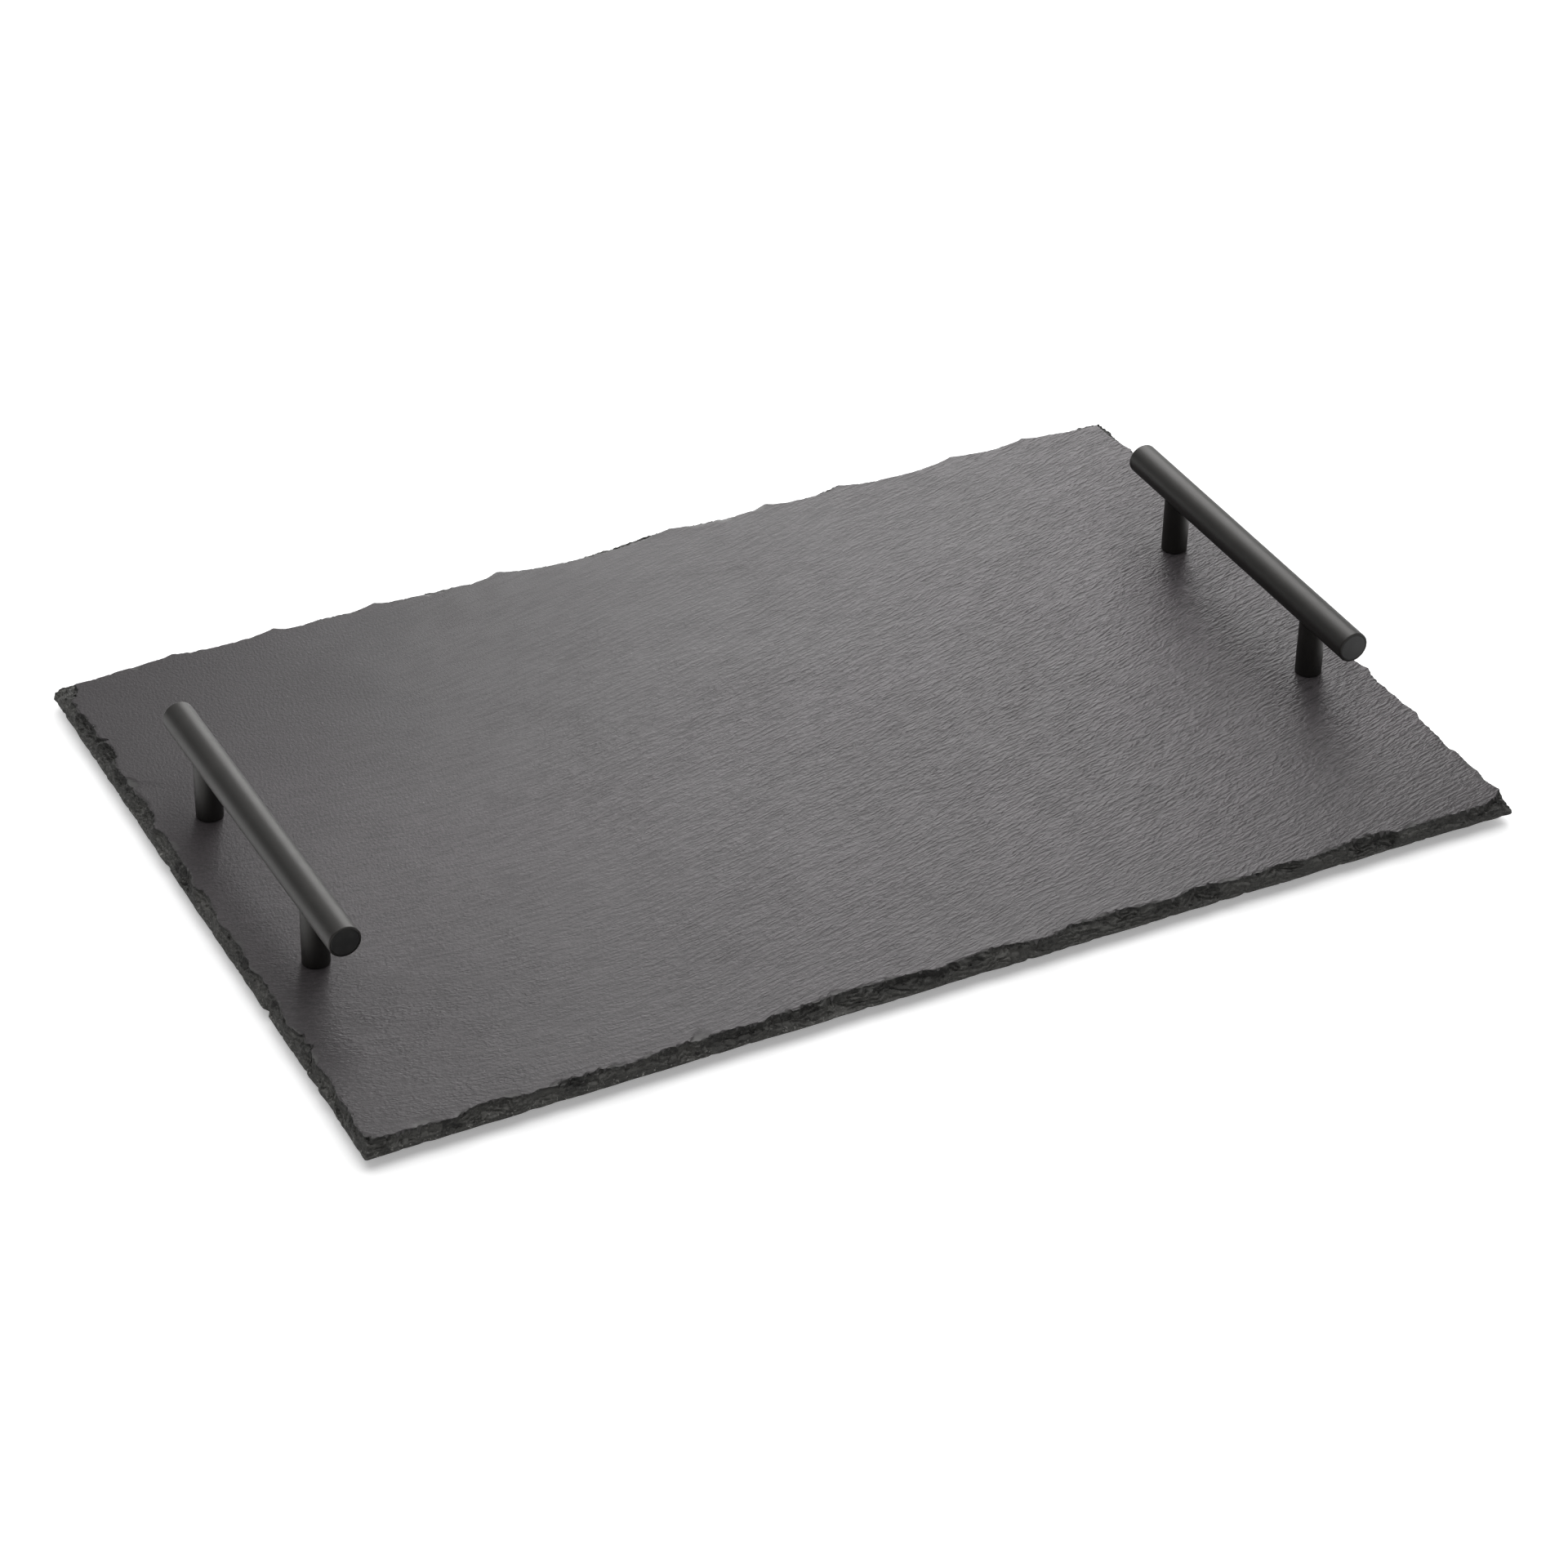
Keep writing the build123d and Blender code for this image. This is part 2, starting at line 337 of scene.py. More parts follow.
def knock_shell(side, spot, half_width, reach, bed, fall, flatness, bite=9.0):
    """Breaks one shell out of the edge, which takes off no more than its bite at any point."""
    along, inward = side_along[side], side_inward[side]
    near = np.abs(along[:, 0] - spot) < half_width + SHELL_MARGIN
    hit = np.nonzero(near & (inward[:, 0] < SHELL_ZONE))[0]
    tone = dress.uniform(0.0, 1.0)
    lean = dress.uniform(-0.09, 0.09)
    if not len(hit):
        return
    bed = max(bed, SLATE_TOP - DEPTH_FOR_WIDTH * half_width)
    rough = SIDE_RAGGEDNESS[side]
    beside = along[hit] + ragged_along[hit] * rough * min(1.0, half_width / RAGGED_WIDTH) - spot
    into = np.maximum(inward[hit] + ragged_in[hit] * rough * min(1.0, reach / RAGGED_REACH), 0)
    span = (beside / half_width) ** 2 + (into / reach) ** 2
    floor_level = bed - fall * np.maximum(reach - into, 0) + lean * beside
    wall = 1 - np.clip(1 - span, 0, 1) ** (1 / flatness)
    left = floor_level + (SLATE_TOP + WALL_OVER - floor_level) * wall
    left = np.where(span < 1, left, SLATE_TOP + OUT_OF_THE_WAY)
    left = np.maximum(left, edge_level[hit] - bite)
    cut = left < edge_level[hit] - LEAST_CUT
    edge_level[hit] = np.where(cut, left, edge_level[hit])
    edge_tone[hit] = np.where(cut, tone, edge_tone[hit])
    edge_ring[hit] = np.where(cut, np.hypot(beside, into * 1.6), edge_ring[hit])


def rim_reach(side, spot):
    """How far in the rim of the face lies at a spot along a side."""
    own = np.arange(sum(side_columns[:side]), sum(side_columns[:side + 1]))
    return np.interp(spot, side_along[side][own, 0], rim_in[own])


# Where one blow meets the next, along each side counter-clockwise. Behind the right bar they are guessed.
FRONT_MEETS = [0, 10, 26, 37, 54, 60, 72, 79, 90, 105, 115, 121, 147, 159, 169, 183, 216, 225, 233, 245, 260,
               277, 296, 311, 327, 341, 361, 380, 388, 400, 418, 440]
RIGHT_MEETS = [9, 21, 34, 48, 63, 79, 96, 118, 131, 156, 170, 197, 222, 239, 266, 284]
REAR_MEETS = [16, 38, 70, 122, 154, 182, 198, 270, 294, 322, 342, 362, 402, 450]
LEFT_MEETS = [10, 22, 43, 60, 81, 104, 120, 142, 156, 178, 196, 213, 241, 255, 273, 284, 300]
SHELL_OVERLAPS = ((1.05, 1.3), (1.0, 1.12), (1.0, 1.1), (1.05, 1.3))
SHELL_BEDS = ((6.4, 8.6), (6.8, 9.0), (6.8, 9.0), (6.4, 8.4))
SHELL_FALLS = ((0.12, 0.50), (0.05, 0.28), (0.05, 0.28), (0.10, 0.40))
SHELL_FLATNESS = ((2.2, 6.5), (3.0, 8.0), (3.0, 8.0), (1.4, 3.4))
RIM_GAPS = ((3.0, 10.0), (14.0, 40.0), (14.0, 40.0), (3.0, 10.0))
for side, meets in enumerate((FRONT_MEETS, RIGHT_MEETS, REAR_MEETS, LEFT_MEETS)):
    for start, end in zip(meets, meets[1:]):
        spot = (start + end) / 2
        half_width = (end - start) / 2 * dress.uniform(*SHELL_OVERLAPS[side])
        reach = rim_reach(side, spot) * dress.uniform(0.94, 1.05)
        bed = dress.uniform(*SHELL_BEDS[side])
        fall = dress.uniform(*SHELL_FALLS[side])
        knock_shell(side, spot, half_width, reach, bed, fall, dress.uniform(*SHELL_FLATNESS[side]))
    # Each row of smaller blows has its gaps, half widths, shares of the rim's reach and what is added to
    # them, beds, flatness and bite.
    low_shells = ((3.0, 8.0), (1.6, 5.0), (0.35, 0.85), (0.0, 0.3), (6.2, 8.6), (1.4, 4.0), 1.6)
    rim_flakes = (RIM_GAPS[side], (0.9, 3.2), (0.95, 1.0), (0.0, 0.5), (9.4, 10.5), (3.0, 7.0), 1.4)
    lip_crumbs = ((0.9, 2.4), (0.5, 1.6), (0.08, 0.25), (0.1, 0.5), (5.7, 6.6), (1.5, 3.0), 0.6)
    for gaps, widths, shares, extras, beds, flatness, bite in (low_shells, rim_flakes, lip_crumbs):
        spot = dress.uniform(0, gaps[1])
        while spot < side_lengths[side]:
            reach = rim_reach(side, spot) * dress.uniform(*shares) + dress.uniform(*extras)
            half_width = dress.uniform(*widths)
            bed = dress.uniform(*beds)
            fall = dress.uniform(0.0, 0.2)
            knock_shell(side, spot, half_width, reach, bed, fall, dress.uniform(*flatness), bite)
            spot += dress.uniform(*gaps)

# Corners: the front right one is split off in two steps down to a thin tip, the rear left one chipped, and
# the rear right one dressed back to a sharp corner.
for corner_blow in ((FRONT, 451.0, 13.0, 5.0, 8.8, 0.08, 7.0), (RIGHT, 0.0, 8.5, 6.5, 8.8, 0.08, 7.0),
                    (FRONT, 452.0, 7.0, 3.4, 6.6, 0.15, 5.0), (RIGHT, 0.0, 5.0, 4.5, 6.6, 0.15, 5.0),
                    (LEFT, 5.0, 11.0, 8.0, 8.6, 0.10, 5.0), (LEFT, 2.0, 6.0, 5.0, 6.8, 0.15, 4.0),
                    (RIGHT, 296.0, 26.0, 4.9, 8.2, 0.10, 6.0), (REAR, 4.0, 30.0, 5.6, 8.2, 0.10, 6.0),
                    (REAR, 440.0, 24.0, 5.2, 8.0, 0.10, 6.0)):
    knock_shell(*corner_blow)

# Below the face the stone parts in thin leaves, so the broken surface steps along the cleavage. A leaf has a
# flat tread and a short riser, and the lip crumbles.
LEAF = 1.5
LEAF_DRIFT = 2.2
LEAF_SWELL = (11.0, 5.0)
LEAF_HOLD = 0.85
TREAD = 0.55
RISER = 0.3
TREAD_LIFT = 0.25
drift_places = [side_along[FRONT].ravel() + side_along[RIGHT].ravel(), side_inward[FRONT].ravel()]
drift = LEAF_DRIFT * per_step(swells(np.stack(drift_places, axis=1), LEAF_SWELL, 3, 5.0))
crumble = per_step(swells(spread, (1.5, 1.5), 3, 9.0))
lip_crumble = 0.14 + 0.06 * np.clip((7.0 - edge_level) / 1.2, 0, 1)
below = np.clip((face_level - edge_level - 0.15) / 0.4, 0, 1)
leaf = edge_level / LEAF + drift
whole = np.floor(leaf)
stepped = (whole + eased((leaf - whole - TREAD) / RISER) + TREAD_LIFT - drift) * LEAF
edge_level += below * (LEAF_HOLD * (stepped - edge_level) + lip_crumble * crumble)
edge_level = np.minimum(edge_level, face_level)

# The rim is where the broken edge meets the face. Behind it a few thin leaves have lifted off the face.
RIM_DROP = 0.3
RIM_UNMET = 46
LIFT_GAP = 28.0
LIP_RUN = 0.25
LIP_RISE = 0.5
met = edge_level > face_level - RIM_DROP
rim_step = np.where(met.any(axis=1), np.argmax(met, axis=1), RIM_UNMET)
rim_step = np.median([np.roll(rim_step, shift) for shift in range(-2, 3)], axis=0).astype(int)
for side in range(4):
    spot = dress.uniform(0, LIFT_GAP)
    while spot < side_lengths[side]:
        half_width = dress.uniform(3.0, 9.0)
        reach = rim_reach(side, spot) * 1.02 + dress.uniform(0.5, 2.2)
        bed = dress.uniform(10.5, 10.8)
        knock_shell(side, spot, half_width, reach, bed, 0.0, dress.uniform(5.0, 9.0), bite=0.4)
        spot += dress.uniform(10.0, LIFT_GAP)
edge_level = np.minimum(edge_level, face_level)
lowest = SLATE_UNDER + np.minimum(depths / LIP_RUN, 1.0) * LIP_RISE
edge_level = np.maximum(edge_level, lowest[None, :])
edge_level[:, 0] = SLATE_UNDER

verts = []
faces = []
face_finish = []
vert_tone = []
vert_fresh = []
vert_ring = []
FACE, EDGE = range(2)


def add_points(points, heights, tones=None, fresh=None, rings=None):
    """Adds points with heights to the slate and returns their numbers."""
    first = len(verts)
    verts.extend((x, y, z) for (x, y), z in zip(points, heights))
    vert_tone.extend(np.full(len(points), 0.5) if tones is None else tones)
    vert_fresh.extend(np.zeros(len(points)) if fresh is None else fresh)
    vert_ring.extend(np.zeros(len(points)) if rings is None else rings)
    return np.arange(first, len(verts))


def add_face(finish, *numbers):
    faces.append(numbers)
    face_finish.append(finish)


def add_coarser_band(outer, inner, turn):
    """Triangles from a ring to one with half its columns."""
    for column in range(len(inner)):
        ahead = (column + 1) % len(inner)
        a, b, c = outer[2 * column], outer[2 * column + 1], outer[(2 * column + 2) % len(outer)]
        for tri in ((a, b, inner[column]), (b, inner[ahead], inner[column]), (b, c, inner[ahead])):
            add_face(FACE, *tri[::turn])


def add_field(ring, depth, coarse, height_of, turn):
    """The grid of quads inside a ring; height_of gives the height at its points."""
    ends = inset_ring(depth, ends_only=True)
    across, deep = LONG_COLUMNS // coarse, SHORT_COLUMNS // coarse
    numbers = np.full((deep + 1, across + 1), -1)
    numbers[0, :across] = ring[:across]
    numbers[:deep, across] = ring[across:across + deep]
    numbers[deep, across:0:-1] = ring[across + deep:2 * across + deep]
    numbers[deep:0:-1, 0] = ring[2 * across + deep:]
    east, north = np.meshgrid(np.arange(1, across) / across, np.arange(1, deep) / deep)
    east, north = east.ravel()[:, None], north.ravel()[:, None]
    front, rear = ends[0] * (1 - east) + ends[1] * east, ends[3] * (1 - east) + ends[2] * east
    points = front * (1 - north) + rear * north
    numbers[1:deep, 1:across] = add_points(points, height_of(points)).reshape(deep - 1, across - 1)
    for row in range(deep):
        for column in range(across):
            quad = (*numbers[row, column:column + 2], *numbers[row + 1, column:column + 2][::-1])
            add_face(FACE, *quad[::turn])


# Rows of the mesh: evenly spaced over the broken edge up to the rim, then over the face behind it.
EDGE_ROWS = 25
RIM_STEPS = (0.3, 0.8, 1.5, 2.5, 4.2)
FRESH_DROP = 0.1
row_in = np.empty((COLUMNS, EDGE_ROWS + len(RIM_STEPS)))
row_level, row_tone, row_drop, row_ring = (np.empty_like(row_in) for _ in range(4))
for column in range(COLUMNS):
    rim = rim_step[column]
    walked = np.concatenate([[0], np.cumsum(np.hypot(np.diff(edge_level[column, :rim + 1]), STEP_IN))])
    band = np.interp(np.linspace(0, walked[-1], EDGE_ROWS), walked, depths[:rim + 1])
    row_in[column] = np.concatenate([band, depths[rim] + np.array(RIM_STEPS)])
    drop = face_level[column] - edge_level[column]
    for values, laid_out in ((row_level, edge_level[column]), (row_tone, edge_tone[column]),
                             (row_drop, drop), (row_ring, edge_ring[column])):
        values[column] = np.interp(row_in[column], depths, laid_out)
rows = []
for row in range(row_in.shape[1]):
    points = under_line + in_way * row_in[:, row][:, None]
    fresh = np.clip(row_drop[:, row] / FRESH_DROP, 0, 1)
    rows.append(add_points(points, row_level[:, row], row_tone[:, row], fresh, row_ring[:, row]))
rows.append(add_points(field_ring, face_height(field_ring)))
for number, (outer, inner) in enumerate(zip(rows, rows[1:])):
    finish = EDGE if number < EDGE_ROWS - 1 else FACE
    for column in range(COLUMNS):
        ahead = (column + 1) % COLUMNS
        add_face(finish, outer[column], outer[ahead], inner[ahead], inner[column])

COARSER = (2, 4, 8)
FACE_INSETS = (17.4, 19.6, 23.6)
UNDER_INSETS = (2.5, 5.5, 11.0)


def close_face(ring, insets, height_of, turn):
    """Closes a face inside a ring: ever coarser bands, then one field of quads."""
    for depth, coarse in zip(insets, COARSER):
        points = inset_ring(depth, coarse)
        inner = add_points(points, height_of(points))
        add_coarser_band(ring, inner, turn)
        ring = inner
    add_field(ring, insets[-1], COARSER[-1], height_of, turn)


close_face(rows[-1], FACE_INSETS, face_height, 1)
close_face(rows[0], UNDER_INSETS, under_height, -1)

slate_mesh = bpy.data.meshes.new("slate")
slate_points = [(x * MM, y * MM, z * MM) for x, y, z in verts]
slate_mesh.from_pydata(slate_points, [], [[int(number) for number in face] for face in faces])
slate_mesh.polygons.foreach_set("material_index", face_finish)
slate_mesh.polygons.foreach_set("use_smooth", [True] * len(faces))
for layer, values in (("chip_tone", vert_tone), ("fresh", vert_fresh), ("chip_ring", vert_ring)):
    kept = slate_mesh.attributes.new(layer, "FLOAT", "POINT")
    kept.data.foreach_set("value", np.array(values, dtype=np.float32))
slate_mesh.update()
slate = bpy.data.objects.new("slate", slate_mesh)
bpy.context.scene.collection.objects.link(slate)


class Shade:
    """One value in a finish; arithmetic on it adds Math nodes."""

    def __init__(self, tree, socket=None):
        self.tree = tree
        self.socket = socket

    def node(self, kind, settings=None, sockets=None, out=0):
        """Any node: its type, its settings, the values or links of its sockets and the output to use."""
        made = self.tree.nodes.new("ShaderNode" + kind)
        for name, value in (settings or {}).items():
            setattr(made, name, value)
        for key, value in (sockets or {}).items():
            if isinstance(value, Shade):
                self.tree.links.new(value.socket, made.inputs[key])
            else:
                made.inputs[key].default_value = value
        return Shade(self.tree, made.outputs[out] if len(made.outputs) else None)

    def math(self, operation, first, second=0.0, clamp=False):
        return self.node("Math", {"operation": operation, "use_clamp": clamp}, {0: first, 1: second})

    def __add__(self, other):
        return self.math("ADD", self, other)

    def __mul__(self, other):
        return self.math("MULTIPLY", self, other)

    def __sub__(self, other):
        return self.math("SUBTRACT", self, other)

    def __rsub__(self, other):
        return self.math("SUBTRACT", other, self)

    def __truediv__(self, other):
        return self.math("DIVIDE", self, other)

    __radd__ = __add__
    __rmul__ = __mul__

    def at_least(self, other):
        return self.math("MAXIMUM", self, other)

    def between(self, low, high):
        """0 below low, 1 above high, smooth between."""
        return self.node("MapRange", {"interpolation_type": "SMOOTHSTEP"}, {0: self, 1: low, 2: high})

    def blend(self, first, second):
        """A colour between two, by this value; a plain colour is its red, green and blue."""
        ends = [colour if isinstance(colour, Shade) else (*colour, 1.0) for colour in (first, second)]
        return self.node("Mix", {"data_type": "RGBA"}, {0: self, 6: ends[0], 7: ends[1]}, out=2)

    def noise(self, place, scale=1.0, detail=2.0, roughness=0.5, distortion=0.0):
        return self.node("TexNoise", {}, {"Vector": place, "Scale": scale, "Detail": detail,
                                          "Roughness": roughness, "Distortion": distortion})

    def axis(self, number):
        """This place's distance along x, y or z."""
        return self.node("SeparateXYZ", {}, {0: self}, out=number)

    def stretch(self, factors):
        """This place with its axes scaled, for grain that runs one way."""
        return self.node("VectorMath", {"operation": "MULTIPLY"}, {0: self, 1: factors})

    def turn(self, angle):
        """This place turned about the upright axis."""
        return self.node("VectorRotate", {"rotation_type": "Z_AXIS"}, {"Vector": self, "Angle": angle})

    def layer(self, name):
        """A value kept at the points of the mesh."""
        return self.node("Attribute", {"attribute_name": name}, out="Fac")


def new_finish(name):
    """An empty material, the maker of its nodes and the place on the object."""
    material = bpy.data.materials.new(name)
    material.use_nodes = True
    material.node_tree.nodes.clear()
    make = Shade(material.node_tree)
    return material, make, make.node("TexCoord", out="Object")


def close_finish(make, relief, depth, strength, sockets):
    """Ends a finish with its surface, on which the relief stands up by a depth."""
    bump = make.node("Bump", {}, {"Strength": strength, "Distance": depth, "Height": relief})
    surface = make.node("BsdfPrincipled", {}, {**sockets, "Normal": bump})
    make.node("OutputMaterial", {}, {"Surface": surface})


# Riven face: short furrows along the grain, which runs a little to the front from right to left and turns
# back near the left end. They are deep at the right and fade into a fine stipple towards the rear left.
GRAIN_RISE = 0.25
GRAIN_BOW = 0.05
LEFT_BEND = 1.8
LEFT_BEND_FROM = -0.07
REAR_LEFT_GRAIN = math.radians(80)
FACE_TINTS = ((0.0602, 0.0531, 0.0571), (0.0588, 0.0533, 0.0558))
FURROW_TONE_AND_PAINTED_SHADE = (0.0314, 0.0290, 0.0300)
SPECK_COLOUR = (0.15, 0.147, 0.142)
LIFTED_COLOUR = (0.070, 0.070, 0.067)
FACE_RELIEF = 0.00033
riven, make, place = new_finish("riven_face")
fresh = make.layer("fresh")
east = place.axis(0)
north = place.axis(1)
beyond = (LEFT_BEND_FROM - east).at_least(0.0)
wander = make.noise(place, 26.0, 1.0) * 0.0035
wriggle = make.noise(place, 330.0, 1.0) * 0.0005
across = north - east * (east * GRAIN_BOW + GRAIN_RISE) - beyond * beyond * LEFT_BEND + wander + wriggle


def along_grain(length, width, seed):
    """Noise drawn out along the grain, with cells of a given length and width in metres."""
    spot = make.node("CombineXYZ", {}, {0: east / length, 1: across / width, 2: seed})
    return make.noise(spot, 1.0, 1.0, 0.55)


crest = along_grain(0.0160, 0.0016, 1.0).between(0.36, 0.60)
dashes = along_grain(0.0048, 0.00115, 4.0).between(0.38, 0.62)
hairs = along_grain(0.0018, 0.00125, 8.0).between(0.36, 0.64)
nicks = along_grain(0.0058, 0.00105, 12.0).between(0.62, 0.74)
stipple = make.noise(place, 1200.0, 2.0, 0.6)
mottle = make.noise(place, 105.0, 2.0, 0.55).between(0.38, 0.62)
calm = make.noise(place, 30.0)
streaks = make.noise(place.turn(-REAR_LEFT_GRAIN).stretch((640.0, 950.0, 1.0)), 1.0, 1.5, 0.55)
bold = east.between(-0.20, -0.07)
fine = (1 - east.between(-0.17, -0.04)) * north.between(-0.10, -0.01)
front_right = (1 - north.between(-0.155, -0.065)) * east.between(-0.06, 0.06)
strong = (east * 2.9 + 0.65).at_least(0.33) - north.at_least(0.0) * 3.8
strong = make.math("ADD", strong, (calm - 0.5) * 0.35, clamp=True) * (1 - front_right * 0.48)
strokes = (crest * 0.18 + dashes * 0.44) * bold + hairs * (0.43 - bold * 0.17) * (mottle * 0.7 + 0.62)
strokes = strokes - nicks * mottle * (0.45 - bold * 0.10)
relief = strokes * strong * (1 - 0.75 * fine) + stipple * 0.17 + streaks * fine * 0.24
# The colour follows the strokes: darker in the furrows and paler on the raised strokes, partly the grain's
# own tone and partly painted shade in the furrows.
tone = (crest * 0.30 + dashes * 0.35 + hairs * 0.35) * strong + stipple * 0.45 + streaks * fine * 0.35
tint = make.noise(place, 15.0).between(0.40, 0.62).blend(*FACE_TINTS)
colour = tone.between(0.20, 0.85).blend(FURROW_TONE_AND_PAINTED_SHADE, tint)
colour = make.noise(place, 640.0, 1.0).between(0.805, 0.83).blend(colour, SPECK_COLOUR)
close_finish(make, relief * (1 - 0.85 * fresh), FACE_RELIEF, 1.0, {
    "Base Color": (fresh * 0.7).blend(colour, LIFTED_COLOUR),
    "Roughness": calm * 0.08 + (1 - crest) * 0.05 + 0.32,
    "IOR": 1.5, "Specular IOR Level": 0.23, "Specular Tint": (1.0, 0.965, 0.982, 1.0)})

# Dressed edge: fresh broken slate. A shell's bed follows the cleavage, so it is smooth; the walls break
# across it and are dull. Upward-facing beds are coloured paler and the walls darker: partly the stone's own
# varied tone, partly painted light on the beds and painted shade on the walls. Fine rings run round each
# blow, and the lower lip is bruised pale.
WALL_TONES_AND_PAINTED_SHADE = ((0.0052, 0.0050, 0.0046), (0.058, 0.057, 0.0525))
BED_TONES_AND_PAINTED_LIGHT = ((0.026, 0.0255, 0.0238), (0.088, 0.0865, 0.081))
UNDER_RIM_PAINTED_SHADE = (0.005, 0.005, 0.0048)
BRUISE_COLOUR = (0.25, 0.247, 0.232)
EDGE_RELIEF = 0.0006
dressed, make, place = new_finish("dressed_edge")
height = place.axis(2)
leaves = make.noise(place.stretch((250.0, 250.0, 1050.0)), 1.0, 4.0, 0.62, 1.1)
crumble = make.noise(place, 1300.0, 4.0, 0.65)
bruise = make.noise(place, 520.0, 3.0, 0.62)
blow = make.layer("chip_tone")
ripple = make.math("SINE", (make.layer("chip_ring") + crumble * 0.9) * 4.6) * 0.5 + 0.5
# How much a surface faces up picks its colour below: painted light where it faces up, painted shade on the
# walls.
bed = make.node("NewGeometry", out="Normal").axis(2).between(0.30, 0.80)
low_lip = 1 - height.between(0.0056, 0.0078)
left_part = 1 - place.axis(0).between(-0.12, 0.0)
dusty = bruise.between(0.50, 0.64) * (low_lip * 0.8 + 0.20) * crumble.between(0.50, 0.60)
dusty = dusty * (left_part * 0.75 + 0.25)
wall = (leaves * 0.45 + crumble * 0.3 + blow * 0.25).between(0.32, 0.68).blend(*WALL_TONES_AND_PAINTED_SHADE)
bed_tone_and_painted_light = (blow * 0.40 + crumble * 0.25 + leaves * 0.45).between(0.25, 0.80).blend(*BED_TONES_AND_PAINTED_LIGHT)
# A band just under the rim is painted near black: painted shade of the steep wall below the rim.
stone = (height.between(0.0092, 0.0106) * 0.6).blend(bed.blend(wall, bed_tone_and_painted_light), UNDER_RIM_PAINTED_SHADE)
relief = leaves * 0.9 * (1 - bed * 0.6) + crumble * 0.3 + ripple * bed * bruise.between(0.42, 0.60) * 0.22
close_finish(make, relief, EDGE_RELIEF, 1.0, {
    "Base Color": dusty.blend(stone, BRUISE_COLOUR), "Roughness": 0.66 - bed * 0.14 + crumble * 0.1,
    "IOR": 1.5, "Specular IOR Level": 0.3})

slate_mesh.materials.append(riven)
slate_mesh.materials.append(dressed)

# The four screw holes are drilled from the top face, 4.5 mm across.
HOLE_RADIUS = 2.25
DRILL_SIDES = 40
DRILL_LENGTH = 20.0
DRILL_MIDDLE = 8.0
EDGE_SHARPNESS = math.radians(30)
drill = bmesh.new()
for x, y in post_spots:
    bmesh.ops.create_cone(drill, cap_ends=True, segments=DRILL_SIDES, depth=DRILL_LENGTH * MM,
                          radius1=HOLE_RADIUS * MM, radius2=HOLE_RADIUS * MM,
                          matrix=Matrix.Translation((x * MM, y * MM, DRILL_MIDDLE * MM)))
drill_mesh = bpy.data.meshes.new("drill")
drill.to_mesh(drill_mesh)
drill.free()
drills = bpy.data.objects.new("drill", drill_mesh)
bpy.context.scene.collection.objects.link(drills)
bore = slate.modifiers.new("holes", "BOOLEAN")
bore.operation = "DIFFERENCE"
bore.solver = "EXACT"
bore.object = drills
bored = bpy.data.meshes.new_from_object(slate.evaluated_get(bpy.context.evaluated_depsgraph_get()))
slate.modifiers.clear()
slate.data = bored
bpy.data.objects.remove(drills)
slate.data.set_sharp_from_angle(angle=EDGE_SHARPNESS)
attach(slate, "root")
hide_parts("slate_board")


# The two bars and their four posts: steel tube and turned steel, powder coated satin black. Each post
# is coped to the bar and drawn up to it by a stud, so only a fine joint line shows.


def give_finish(material, *endings):
    """Gives a finish to every carried-over piece whose name has one of the endings."""
    for name, node in frame["nodes"].items():
        if name.endswith(endings):
            node.material_slots[0].material = material


COAT_COLOURS = ((0.0096, 0.0090, 0.0084), (0.0142, 0.0132, 0.0122))
coat, make, place = new_finish("satin_black_coat")
peel = make.noise(place, 1500.0)
rub = make.noise(place, 90.0, 4.0, 0.6)
close_finish(make, peel, 0.00004, 0.25, {
    "Base Color": rub.between(0.45, 0.75).blend(*COAT_COLOURS), "Roughness": rub * 0.10 + 0.43,
    "IOR": 1.5, "Specular Tint": (1.0, 0.975, 0.945, 1.0)})
give_finish(coat, "_bar", "_post")


# The end plugs: black plastic discs with a flat face, a shade duller than the coat. They are moulded and
# pressed into the ends of the tubes.

PLUG_COLOURS = ((0.011, 0.011, 0.011), (0.018, 0.0175, 0.017))
plug, make, place = new_finish("plug_plastic")
spark = make.noise(place, 2400.0)
wear = make.noise(place, 260.0, 3.0, 0.6)
close_finish(make, spark, 0.00005, 0.35, {
    "Base Color": wear.between(0.4, 0.7).blend(*PLUG_COLOURS), "Roughness": wear * 0.15 + 0.4, "IOR": 1.48})
give_finish(plug, "_end_plug")


# The fixings: zinc-plated steel, turned and headed. Nuts and studs sit inside the handles, and pan-head
# screws on washers hold the posts from below.

ZINC_COLOURS = ((0.46, 0.47, 0.49), (0.62, 0.62, 0.60))
zinc, make, place = new_finish("zinc_plate")
cloud = make.noise(place, 380.0, 3.0, 0.6)
turning = make.noise(place.stretch((900.0, 900.0, 5200.0)))
close_finish(make, turning, 0.00003, 0.3, {
    "Base Color": cloud.between(0.3, 0.7).blend(*ZINC_COLOURS), "Metallic": 1.0,
    "Roughness": cloud * 0.2 + 0.22})
give_finish(zinc, "_bar_nut", "_stud", "_screw", "_washer")


# The feet: four black rubber bumpers, moulded, with a matt skin that holds some dust. They are stuck to the
# underside near the corners.

RUBBER_COLOURS = ((0.018, 0.018, 0.018), (0.034, 0.033, 0.032))
rubber, make, place = new_finish("foot_rubber")
skin = make.noise(place, 1800.0, 3.0, 0.55)
dust = make.noise(place, 150.0, 3.0, 0.6)
close_finish(make, skin, 0.00006, 0.4, {
    "Base Color": dust.between(0.45, 0.75).blend(*RUBBER_COLOURS), "Roughness": dust * 0.2 + 0.62})
give_finish(rubber, "_foot")


# The stage: a plain white paper sweep under the tray. It keeps the tray's shadow, shows white to the camera
# and is pure white away from the tray.

WHITE = (1.0, 1.0, 1.0, 1.0)
PAPER = (0.9, 0.9, 0.9, 1.0)
PAPER_LIFT = 0.3
FLOOR_HALF = 30.0


